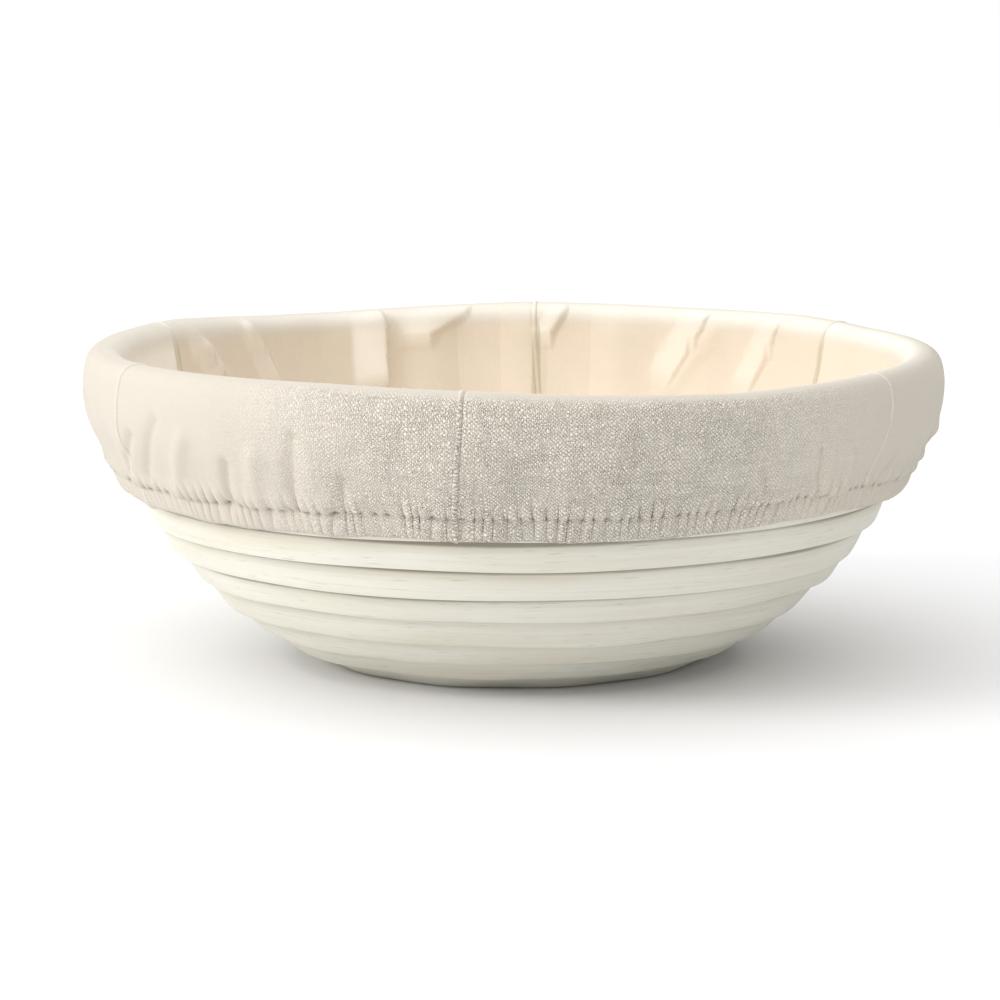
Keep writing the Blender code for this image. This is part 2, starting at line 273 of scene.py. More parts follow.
# Width of each hoop and its gap, from the table up
HOOP_PITCHES = (0.0112, 0.0103, 0.0102, 0.0109, 0.0087, 0.0098, 0.0091, 0.0091, 0.0091, 0.0091, 0.0090)
LAP_TILT = math.radians(10.0)
FIRST_TILT = 0.4  # share of that tilt on the first hoop, which stands on the table
OVERHANG = 0.00035
TABLE_GAP = 0.0002
SCARF_LENGTH = 0.014
SCARF_REACH = 0.35  # radians over which the slanted ends of a hoop blend into it
LAP_PLACES = (math.radians(120.0), math.radians(60.0))  # of the even hoops and of the odd ones
LEAN_SWAY, WIDTH_SWAY, PLACE_SWAY, THICK_SWAY = 0.018, 0.020, 0.00016, 0.00022
HOOP_STEPS = 240
GRAIN_SHIFT = 3.7  # so that no two hoops are cut from the same stretch of grain


def wall_point(along):
    """(radius, height) on the wall's outer face, that far up along it."""
    slope = WALL_START + along / WALL_BEND
    return WALL_CENTRE[0] + WALL_BEND * np.sin(slope), WALL_CENTRE[1] - WALL_BEND * np.cos(slope)


def wall_hoop(number):
    """One hoop. Its lean, width, place and thickness each wander a little round the turn."""
    pitch = HOOP_PITCHES[number - 1]
    width = pitch - CANE_GAP
    across, deep = cane_section(width)
    turn = np.linspace(0, 2 * np.pi, HOOP_STEPS + 1)[:, None]
    start = LAP_PLACES[number % 2]
    middle = sum(HOOP_PITCHES[:number]) - pitch / 2
    lean = WALL_START + middle / WALL_BEND + LAP_TILT * (FIRST_TILT if number == 1 else 1.0)
    lean = lean + LEAN_SWAY * slow_sway(turn, 2, 9, 4)
    wide = 1.0 + WIDTH_SWAY * slow_sway(turn, 3, 17, 5)
    shift = PLACE_SWAY * slow_sway(turn, 2, 7, 4) + (OVERHANG if number > 1 else 0.0)
    bulge = THICK_SWAY * slow_sway(turn, 2, 12, 5)
    radius, height = wall_point(middle)
    over = across * wide + shift
    into = deep - bulge
    ring = radius + over * np.cos(lean) - into * np.sin(lean)
    rise = np.maximum(height + over * np.sin(lean) + into * np.cos(lean), TABLE_GAP)
    ends = (deep / CANE_THICK - 0.5) * SCARF_LENGTH / radius
    near = np.minimum(turn, 2 * np.pi - turn)
    place = start + turn + ends * np.clip(1 - near / SCARF_REACH, 0, 1)
    place[-1] -= CANE_GAP / radius
    points = np.stack([ring * np.cos(place), ring * np.sin(place), rise], -1)
    length = turn * radius + GRAIN_SHIFT * number
    # The second value is the distance down from the hoop's upper edge, which the material darkens as painted
    # shade.
    grain = np.stack(np.broadcast_arrays(length, across - width / 2, deep), -1)
    return skin(f"cane_hoop_{number:02d}", points, grain)


for number in range(1, len(HOOP_PITCHES) + 1):
    hoop = wall_hoop(number)
    hoop.data.materials.append(cane)
    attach(hoop, "basket")
    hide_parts(f"wall_hoop_{number:02d}")

# ---------------------------------------------------------------------------------------------
# Nails. Thin steel pins run down through each hoop's edge into the cane below, and through the
# base's turns. They are bright drawn wire, and the cane closes over them.
# ---------------------------------------------------------------------------------------------


def steel_material():
    material, tree, shader = new_material("nail_steel")
    place = add(tree, "ShaderNodeTexCoord").outputs["Object"]
    drawn = noise(tree, place, 2600.0, 3.0, 0.6)
    dull = noise(tree, place, 240.0, 2.0, 0.5)
    dull = spread(tree, dull, 0.4, 0.65)
    colour = blend_colours(tree, dull, (0.60, 0.59, 0.57, 1.0), (0.38, 0.35, 0.31, 1.0))
    bump = add(tree, "ShaderNodeBump", {}, Strength=0.3, Distance=0.00005, Height=drawn)
    tree.links.new(colour, shader.inputs["Base Color"])
    tree.links.new(spread(tree, drawn, 0.3, 0.7, 0.25, 0.5), shader.inputs["Roughness"])
    tree.links.new(bump.outputs["Normal"], shader.inputs["Normal"])
    shader.inputs["Metallic"].default_value = 1.0
    return material


steel = steel_material()
for name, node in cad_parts.items():
    if "nail" in name:
        node.data.materials.clear()
        node.data.materials.append(steel)

# ---------------------------------------------------------------------------------------------
# Liner. Six gores of plain-weave linen are seamed edge to edge, smooth against the bowl inside
# and turned down loosely over the rim. The hem is gathered on an elastic into fine puckers.
# ---------------------------------------------------------------------------------------------

SEAMS = [math.radians(a) for a in (32.0, 86.0, 155.0, 208.0, 263.0, 326.0)]
CLOTH = 0.0005
THREAD_PITCH = 0.00051
INSIDE_REACH = 0.0909  # from the wall's centre of bend to the cloth inside
COLUMN = math.radians(0.2)
SEAM_MARGIN = math.radians(1.6)
SEAM_OVERLAP = math.radians(0.04)
GATHERS = 226
CLOTH_RADIUS = 0.107  # of the cloth about its rim, where a turn is measured along it
STITCH_HEIGHT = 0.0522

# (radius, height) over the rim, down the flap and round the fold of the hem to the edge turned under
TURN_DOWN = [
    (0.1018, 0.0745), (0.1026, 0.0785), (0.1038, 0.0809), (0.1056, 0.0821), (0.1078, 0.0823),
    (0.1100, 0.0816), (0.1116, 0.0798), (0.1124, 0.0770), (0.1127, 0.0736), (0.1122, 0.0686),
    (0.1110, 0.0644), (0.1092, 0.0604), (0.1074, 0.0570), (0.1060, 0.0545), (0.1049, 0.0528),
    (0.1043, 0.0519), (0.1039, 0.0510), (0.1033, 0.0494), (0.1027, 0.0479), (0.1024, 0.0471),
    (0.1020, 0.0466), (0.1015, 0.0464), (0.1010, 0.0467), (0.1009, 0.0475), (0.1014, 0.0490),
    (0.1021, 0.0508), (0.1028, 0.0524),
]

# (degrees, lift) of the rim's crest as the loose cloth lies over it
CREST = [
    (0, -0.0003), (25, -0.0008), (40, 0.0001), (62, -0.0003), (88, 0.0002), (97, -0.0004), (118, -0.0015),
    (130, -0.0012), (150, 0.0008), (200, 0.0002), (245, 0.0011), (265, 0.0003), (278, -0.0006),
    (300, -0.0018), (325, -0.0010), (360, -0.0003),
]

# (degrees, lift) of the hem where it rides up the bowl a little
HEM_RISE = [
    (0, 0.0004), (60, 0.0), (130, 0.0005), (208, 0.0006), (223, 0.0001), (238, 0.0004), (257, 0.0009),
    (273, 0.0003), (292, 0.0003), (304, 0.0013), (315, 0.0021), (325, 0.0017), (342, 0.0008), (360, 0.0004),
]
HEM_LEAN = 0.55  # how far the hem moves out for each step up

FLOOR_TOP = 0.0071  # the cloth lies on the base
LOW_ROWS, HIGH_ROWS = 18, 56  # rows up the wall, closer together where the cloth is seen
PART_WAY, UNDER_RIM = math.radians(46.0), math.radians(76.5)


def hem_rise(angle):
    turned, lifts = np.array(HEM_RISE).T
    return np.interp(np.degrees(angle) % 360, turned, lifts)


def smooth_path(points, spacing):
    """Points at about that spacing along a smooth curve through the given ones."""
    given = np.array(points)
    padded = np.vstack([2 * given[0] - given[1], given, 2 * given[-1] - given[-2]])
    fine = []
    for a, b, c, d in zip(padded, padded[1:], padded[2:], padded[3:]):
        t = np.linspace(0, 1, 40, endpoint=False)[:, None]
        bend, twist = 2 * a - 5 * b + 4 * c - d, 3 * b - a - 3 * c + d
        fine.append(0.5 * (2 * b + (c - a) * t + bend * t**2 + twist * t**3))
    fine = np.vstack([*fine, given[-1]])
    along = np.append(0, np.cumsum(np.hypot(*np.diff(fine, axis=0).T)))
    stops = np.linspace(0, along[-1], round(along[-1] / spacing) + 1)
    return np.stack([np.interp(stops, along, fine[:, k]) for k in range(2)], -1)


def liner_path():
    """Rows of (radius, height) along the cloth, from the middle of the floor to the raw edge of the hem."""
    foot = np.arccos((WALL_CENTRE[1] - FLOOR_TOP) / INSIDE_REACH)
    low = np.linspace(foot, PART_WAY, LOW_ROWS, endpoint=False)
    slopes = np.concatenate([low, np.linspace(PART_WAY, UNDER_RIM, HIGH_ROWS)])
    out, up = WALL_CENTRE
    arc = [(out + INSIDE_REACH * np.sin(s), up - INSIDE_REACH * np.cos(s)) for s in slopes]
    flat = [(r, FLOOR_TOP) for r in np.linspace(0.0004, arc[0][0] - 0.003, 12)]
    return np.vstack([flat, arc, smooth_path(TURN_DOWN, 0.00075)])


path = liner_path()
step_out = np.gradient(path, axis=0)
step_out /= np.hypot(*step_out.T)[:, None]
path_normal = np.stack([-step_out[:, 1], step_out[:, 0]], -1)
along_path = np.append(0, np.cumsum(np.hypot(*np.diff(path, axis=0).T)))
flat_radius = np.maximum.accumulate(path[:, 0])  # each gore is cut wide enough to pass all below it
rim_row = int(np.argmax(path[:, 1]))
fold_row = rim_row + int(np.argmin(path[rim_row:, 1]))
stitch_row = rim_row + int(np.argmin(np.abs(path[rim_row:fold_row, 1] - STITCH_HEIGHT)))


def waves(low, high, count, slant=0.0):
    """Waves round the rim that make one kind of fold: cycles in a turn, lean along the cloth, start."""
    cycles = chance.integers(low, high, count)
    return list(zip(cycles, chance.uniform(-slant, slant, count), chance.uniform(0, 2 * np.pi, count)))


def wander(kind, angle, along=0.0):
    return sum(np.sin(c * angle + n * along + s) for c, n, s in kind) / math.sqrt(len(kind))


SLOW_DRIFT, QUICK_DRIFT, DRAW = waves(31, 47, 3), waves(71, 97, 3), waves(9, 40, 5)
COARSE, SOFT, BROAD = waves(60, 130, 6, 40.0), waves(14, 52, 7, 25.0), waves(3, 11, 5, 12.0)
INNER = waves(5, 26, 6, 30.0)


def gather_phase(angle):
    return GATHERS * angle + 1.3 * wander(SLOW_DRIFT, angle) + 0.7 * wander(QUICK_DRIFT, angle)


def between(value, low, high):
    share = np.clip((value - low) / (high - low), 0, 1)
    return share * share * (3 - 2 * share)


# Single folds: side of the cloth, half width and lift in millimetres, then (degrees, height) along it
FOLDS = [
    ("flap", 1.6, -1.1, (211, 66), (204, 53)), ("flap", 1.8, -1.0, (218, 71), (211, 55)),
    ("flap", 2.2, 0.9, (224, 68), (219, 54)), ("flap", 1.7, -1.4, (231, 63), (229, 52)),
    ("flap", 2.4, 1.0, (236, 66), (234, 53)), ("flap", 2.0, -1.3, (242, 71), (240, 53)),
    ("flap", 1.6, -1.0, (248, 61), (247, 53)), ("flap", 1.0, 0.6, (296, 65), (303, 69), (311, 71)),
    ("flap", 1.1, -0.8, (312, 66), (313, 57), (314, 52)), ("flap", 1.3, 0.8, (318, 63), (319, 53)),
    ("flap", 1.5, -1.0, (331, 60), (328, 53)), ("flap", 1.4, 0.9, (338, 62), (334, 54)),
    ("flap", 1.5, -0.8, (303, 62), (305, 54)), ("flap", 2.4, 1.1, (350, 63), (4, 57)),
    ("flap", 1.8, 1.0, (352, 56), (6, 52)), ("flap", 1.6, -0.9, (346, 59), (358, 55)),
    ("inside", 1.8, 1.3, (148, 75), (144, 66)), ("inside", 1.6, 0.8, (136.5, 79), (136, 73)),
    ("inside", 2.4, 0.8, (62, 60), (56, 76)),
]


# Pleats inside: reach and height in millimetres, then (degrees, height) along the crest, right side sloping
PLEATS = [
    (11.0, 2.6, (112, 56), (111.5, 78)), (9.0, 1.3, (110, 69), (98, 80.5)),
    (5.0, 1.3, (87, 72), (84.6, 72.5), (81.5, 81)), (7.0, 1.0, (146, 58), (145.5, 70), (148, 77)),
    (9.0, 1.0, (64, 58), (58, 78)), (8.0, 0.9, (48, 58), (44, 76)), (6.0, 1.0, (131, 60), (135, 78)),
]


def off_line(stops, angle, height, radius):
    """(distance, on the right, clear of the start) of each point from a line of (degrees, height) stops."""
    nearest = np.full(np.broadcast_shapes(angle.shape, height.shape), np.inf)
    right = np.zeros(nearest.shape, bool)
    clear = np.zeros(nearest.shape)
    for order, ((a, low), (b, high)) in enumerate(zip(stops, stops[1:])):
        across = ((angle - math.radians(a) + np.pi) % (2 * np.pi) - np.pi) * radius
        rise = height - low / 1000
        run = ((b - a + 180) % 360 - 180) * math.pi / 180 * CLOTH_RADIUS, (high - low) / 1000
        share = np.clip((across * run[0] + rise * run[1]) / (run[0] ** 2 + run[1] ** 2), 0, 1)
        apart = np.hypot(across - share * run[0], rise - share * run[1])
        right = np.where(apart < nearest, run[0] * rise - run[1] * across < 0, right)
        clear = np.where(apart < nearest, order + share, clear)
        nearest = np.minimum(nearest, apart)
    return nearest * 1000, right, between(clear, 0.0, 0.35)


def fold_lift(fold, angle, height, radius, where):
    """How far one fold lifts the cloth: a rounded ridge, or a valley where its lift is negative."""
    _, width, lift, *stops = fold
    apart, _, _ = off_line(stops, angle, height, radius)
    return np.where(where, lift / 1000 * np.exp(-((apart / width) ** 2)), 0.0)


def pleat_lift(pleat, angle, height, radius):
    """A pleat falls gently away on its right and sharply on its left."""
    reach, lift, *stops = pleat
    apart, right, clear = off_line(stops, angle, height, radius)
    gentle = between(-apart, -reach, 0.0)
    sharp = np.exp(-((apart / 0.7) ** 2))
    return lift / 1000 * clear * np.where(right, gentle, sharp)


def pleat_face(pleat, angle, height, radius):
    """1 on the gently sloping face of a pleat, painted a little paler as painted light where that face turns
    to the lamp.
    """
    reach, lift, *stops = pleat
    apart, right, clear = off_line(stops, angle, height, radius)
    return np.where(right, 1 - between(apart, 0.75 * reach, reach), 0.0) * clear * min(1.0, lift / 2)


def from_seam(angle, seam, radius):
    """Millimetres round the turn from a seam."""
    return ((angle - seam + np.pi) % (2 * np.pi) - np.pi) * radius * 1000


def seam_drift(height):
    """Millimetres that a seam's ridge lies off its line, which change as it nears the hem."""
    return 0.6 - 2.2 * between(0.080 - height, 0.0, 0.034)


def seam_lift(across, height):
    """A seam: the thin ridge of the turned edge, and a groove beside it."""
    ridge = across - seam_drift(height)
    return 0.00034 * np.exp(-((ridge / 0.27) ** 2)) - 0.00025 * np.exp(-(((ridge - 0.8) / 0.5) ** 2))


# How far each kind of fold lifts or sinks the cloth
CASING_PUFF, GATHER_PUFF, STITCH_SINK, HOLE_SINK, HIDDEN_SINK = 0.00062, 0.00055, 0.0001, 0.0006, 0.0002
COARSE_LIFT, SOFT_LIFT, SLACK, BROAD_LIFT, INNER_LIFT = 0.0006, 0.0005, 0.0002, 0.0004, 0.0009


def cloth_points(angle, rows):
    """(rows, angles, 3) points of the finished cloth. rows are fractional places along the path."""
    row = np.asarray(rows, float)[:, None]
    index = np.arange(len(path))
    lines = (path[:, 0], path[:, 1], path_normal[:, 0], path_normal[:, 1], along_path)
    radius, height, out, up, along = (np.interp(row, index, line) for line in lines)
    angle = angle[None, :]
    down = along - along_path[rim_row]
    stitch = along - along_path[stitch_row]
    past = along - along_path[fold_row]
    behind = between(past, 0.0, 0.0015)
    front = 1 - behind

    leaning = np.clip(stitch, -0.004, 0.006) * 260 * wander(DRAW, angle)
    pucker = np.abs(np.sin((gather_phase(angle) + leaning) / 2)) ** 0.75
    draw = np.clip(0.95 + 0.35 * wander(DRAW, angle), 0.25, 1.6)
    casing = between(stitch, -0.0004, 0.0010) * (1 - 0.8 * between(past, -0.0024, 0.0002))
    above = between(stitch, -0.0095, -0.0005) ** 2 * (1 - between(stitch, -0.0004, 0.0010))
    move = front * (casing * CASING_PUFF + above * GATHER_PUFF) * pucker * draw
    move -= front * np.exp(-((stitch / 0.0008) ** 2)) * (STITCH_SINK + HOLE_SINK * (1 - pucker) * draw)
    move -= behind * HIDDEN_SINK * pucker * draw
    move += above * front * np.abs(wander(COARSE, angle, along)) * COARSE_LIFT

    lower = between(down, 0.006, 0.026) * front * (1 - 0.6 * between(stitch, -0.003, 0.0))
    move += lower * (wander(SOFT, angle, along) * SOFT_LIFT + SLACK)
    upper = between(down, 0.002, 0.010) * front * (1 - between(stitch, -0.004, 0.0))
    move += upper * wander(BROAD, angle, along) * BROAD_LIFT
    inside = (1 - between(down, -0.012, -0.002)) * between(along, 0.050, 0.085)
    move += inside * np.clip(wander(INNER, angle, along), -0.3, 2.0) * INNER_LIFT
    for fold in FOLDS:
        where = (down < 0.001) == (fold[0] == "inside")
        move += fold_lift(fold, angle, height, radius, where) * front
    for pleat in PLEATS:
        move += pleat_lift(pleat, angle, height, radius) * (1 - between(down, -0.006, -0.001))
    for seam in SEAMS:
        move += seam_lift(from_seam(angle, seam, radius), height) * front

    turned, lifts = np.array(CREST).T
    crest = np.interp(np.degrees(angle) % 360, turned, lifts)
    rise = crest * np.exp(-((down / 0.010) ** 2))
    hem = hem_rise(angle) * between(down, 0.016, 0.036)
    r = radius + out * move + hem * HEM_LEAN
    z = height + up * move + rise + hem
    return np.stack([r * np.cos(angle), r * np.sin(angle), z], -1)


# Where the flap is brushed and its weave shows less: middle and half width in degrees, and how much
NAPPED = [(214, 32, 0.9), (334, 32, 0.75)]

# How much paler each gore is painted inside than the darkest one: painted light, for the panels that stand
# in the lamp's light
GORE_PAINTED_LIGHT = (0.0, 0.0, 1.0, 0.5, 0.3, 0.1)


def gore(number, start, end):
    """
    One gore between two seams, finer beside them. For the linen's material it carries cloth (where each
    point lies on the flat cloth), finish (brushed, along a seam, and painted shade at a needle hole) and
    tone (inside the bowl, painted paler where panels and pleats meet the lamp's light, and a painted
    highlight on the crest of the rim), each from 0 to 1 but the first.
    """
    start, end = start - SEAM_OVERLAP, end + SEAM_OVERLAP
    near = np.linspace(0, SEAM_MARGIN, 24, endpoint=False)
    middle = np.linspace(start + SEAM_MARGIN, end - SEAM_MARGIN, round((end - start) / COLUMN))
    angle = np.concatenate([start + near, middle, (end - near)[::-1]])
    rows = np.arange(len(path))
    points = cloth_points(angle, rows)
    count = len(angle)
    corner = np.arange(len(rows) * count).reshape(len(rows), count)
    faces = np.stack([corner[:-1, :-1], corner[:-1, 1:], corner[1:, 1:], corner[1:, :-1]], -1)
    name = f"linen_gore_{number}"
    mesh = bpy.data.meshes.new(name)
    mesh.from_pydata(points.reshape(-1, 3).tolist(), [], faces.reshape(-1, 4).tolist())
    over = (angle - (start + end) / 2)[None, :] * flat_radius[:, None]
    cloth = np.stack(np.broadcast_arrays(over, along_path[:, None], 0.31 * number), -1)
    carry(mesh, "cloth", cloth)
    soften = 1 - between(along_path - along_path[rim_row], -0.001, 0.007)[:, None]
    for centre, half, much in NAPPED:
        away = (np.degrees(angle) - centre + 180) % 360 - 180
        soften = np.maximum(soften, much * np.exp(-((away / half) ** 2))[None, :])
    radius = path[:, 0][:, None]
    within = 1 - between(along_path - along_path[rim_row], -0.010, -0.003)[:, None]
    drift = seam_drift(path[:, 1][:, None]) * (1 - within)
    apart = np.minimum(*[np.abs(from_seam(angle, seam, radius) - drift) for seam in (start, end)])
    # A darker strip along each seam: wider inside the bowl, narrow on the flap.
    seam_strip = 1 - between(apart, 0.12 + 0.9 * within, 0.42 + 1.1 * within)
    # Painted shade in the needle holes, darkest in the valleys between the puckers.
    from_holes = (along_path - along_path[stitch_row])[:, None] * 1000
    holes = np.exp(-((from_holes / 0.6) ** 2)) * (1 - np.abs(np.sin(gather_phase(angle) / 2))) ** 0.8
    carry(mesh, "finish", np.stack(np.broadcast_arrays(soften, seam_strip, holes), -1))
    # Painted light: pleat faces that turn towards the lamp, and whole panels that stand in its light, are
    # painted paler inside the bowl.
    pleat_face_light = sum(pleat_face(pleat, angle[None, :], path[:, 1][:, None], radius) for pleat in PLEATS)
    # Painted highlight: a paler band along the top of the rim, where the light falls.
    from_rim = (along_path - along_path[rim_row])[:, None]
    crest = np.exp(-(((from_rim + 0.0035) / 0.003) ** 2))
    paler = GORE_PAINTED_LIGHT[number - 1] + 0.75 * pleat_face_light
    carry(mesh, "tone", np.stack(np.broadcast_arrays(within, paler, crest), -1))
    mesh.shade_smooth()
    thing = put(name, mesh)
    thick = thing.modifiers.new("cloth", "SOLIDIFY")
    thick.thickness = CLOTH
    thick.offset = -1.0
    return thing


def weave_group():
    """Plain weave: warp and weft pass over each other in turn, with uneven thread and open corners."""
    group, given, made = new_group(
        "plain weave",
        [
            ("Where", "NodeSocketVector", None),
            ("Pitch", "NodeSocketFloat", THREAD_PITCH),
            ("Uneven", "NodeSocketFloat", 0.5),
        ],
        [(label, "NodeSocketFloat") for label in ("Height", "Pit", "Highlight", "Weft")],
    )
    where = given["Where"]
    apart = parted(group, where)
    swings = []
    for axis, stretch in ((apart[0], (1.0, 0.35, 1.0)), (apart[1], (0.35, 1.0, 1.0))):
        count = sums(group, "DIVIDE", axis, given["Pitch"])
        slow = noise(group, stretched(group, where, stretch), 190.0, 3.0, 0.6)
        quick = noise(group, where, 1150.0, 1.0, 0.5)
        shift = sums(group, "MULTIPLY", sums(group, "SUBTRACT", slow, 0.5), 10.0)
        shift = sums(group, "MULTIPLY_ADD", sums(group, "SUBTRACT", quick, 0.5), 2.8, shift)
        shift = sums(group, "MULTIPLY", shift, given["Uneven"])
        count = sums(group, "ADD", count, shift)
        swings.append(sums(group, "SINE", sums(group, "MULTIPLY", count, math.pi)))
    cross = sums(group, "MULTIPLY", *swings)
    warp_thick = noise(group, stretched(group, where, (1900.0, 200.0, 1.0)), 1.0, 2.0, 0.5)
    weft_thick = noise(group, stretched(group, where, (200.0, 1900.0, 1.0)), 1.0, 2.0, 0.5)
    warp, weft = sums(group, "ABSOLUTE", swings[0]), sums(group, "ABSOLUTE", swings[1])
    warp = sums(group, "MULTIPLY", warp, sums(group, "MULTIPLY_ADD", cross, 0.5, 0.5))
    weft = sums(group, "MULTIPLY", weft, sums(group, "MULTIPLY_ADD", cross, -0.5, 0.5))
    warp = sums(group, "MULTIPLY", warp, spread(group, warp_thick, 0.35, 0.65, 0.65, 1.25))
    weft = sums(group, "MULTIPLY", weft, spread(group, weft_thick, 0.35, 0.65, 0.65, 1.25))
    weft = sums(group, "MULTIPLY", weft, 0.75)
    height = sums(group, "MAXIMUM", warp, weft)
    group.links.new(height, made["Height"])
    group.links.new(spread(group, cross, -0.62, -0.10, 1.0, 0.0), made["Weft"])
    patchy = spread(group, noise(group, where, 170.0, 3.0, 0.6), 0.36, 0.60, 0.7, 1.0)
    grain = spread(group, noise(group, where, 1700.0, 1.0, 0.5), 0.38, 0.58, 0.45, 1.0)
    # Painted shade in the open corners between the threads.
    pit_shade = sums(group, "MULTIPLY", spread(group, height, 0.08, 0.46, 1.0, 0.0), patchy)
    group.links.new(sums(group, "MULTIPLY", pit_shade, grain), made["Pit"])
    # Painted highlight on the crowns of the threads, in scattered spots.
    highlight_spots = spread(group, noise(group, where, 1200.0, 1.0, 0.5), 0.45, 0.62)
    group.links.new(sums(group, "MULTIPLY", spread(group, height, 0.5, 0.95), highlight_spots), made["Highlight"])
    return group


def linen_material():
    """Unbleached linen, napped smooth over the rim and inside, with a darker strip along each seam."""
    material, tree, shader = new_material("linen")
    where = carried(tree, "cloth")
    soften, seam_strip, hole = parted(tree, carried(tree, "finish"))
    within, tone, crest = parted(tree, carried(tree, "tone"))
    weave = add(
        tree, "ShaderNodeGroup", {"node_tree": weave_group()}, Where=where, Pitch=THREAD_PITCH, Uneven=0.5
    ).outputs
    cloudy = noise(tree, where, 55.0, 4.0, 0.6)
    brushed = spread(tree, soften, 0.0, 0.75)
    outside = blend_colours(tree, brushed, (0.99, 0.93, 0.825, 1.0), (0.635, 0.585, 0.505, 1.0))
    # Inside the bowl the tone carries painted light: lit panels and pleat faces are painted paler.
    inside = blend_colours(tree, tone, (0.79, 0.69, 0.56, 1.0), (0.97, 0.91, 0.815, 1.0))
    colour = blend_colours(tree, within, outside, inside)
    # Painted highlight along the crest of the rim.
    colour = blend_colours(tree, sums(tree, "MULTIPLY", crest, 0.8), colour, (0.93, 0.885, 0.80, 1.0))
    cloudy = spread(tree, cloudy, 0.35, 0.7, 0.0, 0.12)
    colour = blend_colours(tree, cloudy, colour, (0.60, 0.54, 0.44, 1.0))
    # A darker strip along each seam, wider inside the bowl than on the flap.
    seam_strip_colour = blend_colours(tree, within, (0.76, 0.72, 0.64, 1.0), (0.52, 0.45, 0.33, 1.0))
    colour = blend_colours(tree, sums(tree, "MULTIPLY", seam_strip, 0.55), colour, seam_strip_colour)
    # Painted shade: the needle holes and the pucker valleys round them are darkened.
    colour = blend_colours(tree, sums(tree, "MULTIPLY", hole, 0.9), colour, (0.16, 0.13, 0.09, 1.0))
    keep = spread(tree, soften, 0.0, 0.8, 1.0, 0.08)
    # Painted shade: where the weft lies on top it is painted darker than the warp of the same linen, for the
    # checker of light and shade across the weave.
    weft = sums(tree, "MULTIPLY", weave["Weft"], sums(tree, "MULTIPLY", keep, 0.75))
    colour = blend_colours(tree, weft, colour, (0.385, 0.325, 0.24, 1.0))
    # Painted shade: the open corners of the weave are darkened nearly to black.
    pit_shade = sums(tree, "MULTIPLY", weave["Pit"], keep)
    colour = blend_colours(tree, pit_shade, colour, (0.08, 0.065, 0.045, 1.0))
    # Painted highlight on the thread crowns.
    crown_highlight = sums(tree, "MULTIPLY", weave["Highlight"], sums(tree, "MULTIPLY", keep, 0.4))
    colour = blend_colours(tree, crown_highlight, colour, (0.98, 0.96, 0.90, 1.0))
    height = sums(tree, "MULTIPLY", weave["Height"], keep)
    bump = add(tree, "ShaderNodeBump", {}, Strength=1.0, Distance=0.00036, Height=height)
    tree.links.new(colour, shader.inputs["Base Color"])
    tree.links.new(bump.outputs["Normal"], shader.inputs["Normal"])
    shader.inputs["Roughness"].default_value = 0.92
    shader.inputs["Specular IOR Level"].default_value = 0.2
    shader.inputs["Sheen Weight"].default_value = 0.12
    return material


linen = linen_material()
for number, start in enumerate(SEAMS, 1):
    end = SEAMS[number % len(SEAMS)]
    if end < start:
        end += 2 * math.pi
    cloth = gore(number, start, end)
    cloth.data.materials.append(linen)
    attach(cloth, "liner")
    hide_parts(f"liner_gore_{number}")

# ---------------------------------------------------------------------------------------------
# Hem elastic. A flat band, rubber cords covered in woven cotton, runs round inside the hem's
# casing and draws the cloth in under the rim.
# ---------------------------------------------------------------------------------------------


def elastic_material():
    material, tree, shader = new_material("elastic")
    place = add(tree, "ShaderNodeTexCoord").outputs["Object"]
    ribs = noise(tree, stretched(tree, place, (120.0, 120.0, 2600.0)), 1.0, 2.0, 0.5)
    rib = spread(tree, ribs, 0.35, 0.65)
    colour = blend_colours(tree, rib, (0.84, 0.82, 0.77, 1.0), (0.66, 0.63, 0.57, 1.0))
    bump = add(tree, "ShaderNodeBump", {}, Strength=0.6, Distance=0.0002, Height=ribs)
    tree.links.new(colour, shader.inputs["Base Color"])
    tree.links.new(bump.outputs["Normal"], shader.inputs["Normal"])
    shader.inputs["Roughness"].default_value = 0.8
    return material


BAND_STEPS = 360
# (radius, height) of the band's four edges
BAND_EDGES = [(0.10170, 0.0474), (0.10200, 0.0474), (0.10335, 0.0510), (0.10305, 0.0510)]


def hem_band():
    """The band as it lies between the casing's two layers, leaning with the wall, rippled by its stretch."""
    angle = np.linspace(0, 2 * np.pi, BAND_STEPS, endpoint=False)
    edge = np.array(BAND_EDGES)
    ripple = 0.00004 * np.sin(angle * 60)[:, None]
    lift = hem_rise(angle)[:, None]
    radius = edge[None, :, 0] + ripple + HEM_LEAN * lift
    out, along = np.cos(angle)[:, None], np.sin(angle)[:, None]
    points = np.stack([radius * out, radius * along, edge[:, 1] + lift], -1)
    corner = np.arange(BAND_STEPS * 4).reshape(BAND_STEPS, 4)
    after, beside = np.roll(corner, -1, axis=0), np.roll(corner, -1, axis=1)
    faces = np.stack([corner, after, np.roll(after, -1, axis=1), beside], -1).reshape(-1, 4)
    mesh = bpy.data.meshes.new("elastic_band")
    mesh.from_pydata(points.reshape(-1, 3).tolist(), [], faces.tolist())
    mesh.update()
    return put("elastic_band", mesh)


elastic = hem_band()
elastic.data.materials.append(elastic_material())
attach(elastic, "liner")
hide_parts("hem_elastic")

# ---------------------------------------------------------------------------------------------
# Hem stitching. One row of cotton lockstitch closes the casing, sunk into the puckers that the
# elastic makes.
# ---------------------------------------------------------------------------------------------

STITCH_SHARE = 0.72  # of the way between two needle holes
STITCH_RADIUS = 0.00017
STITCH_PROUD, STITCH_DIVE = 0.00012, 0.0005
STITCH_TAUT = 0.35  # how far the thread straightens across a pucker


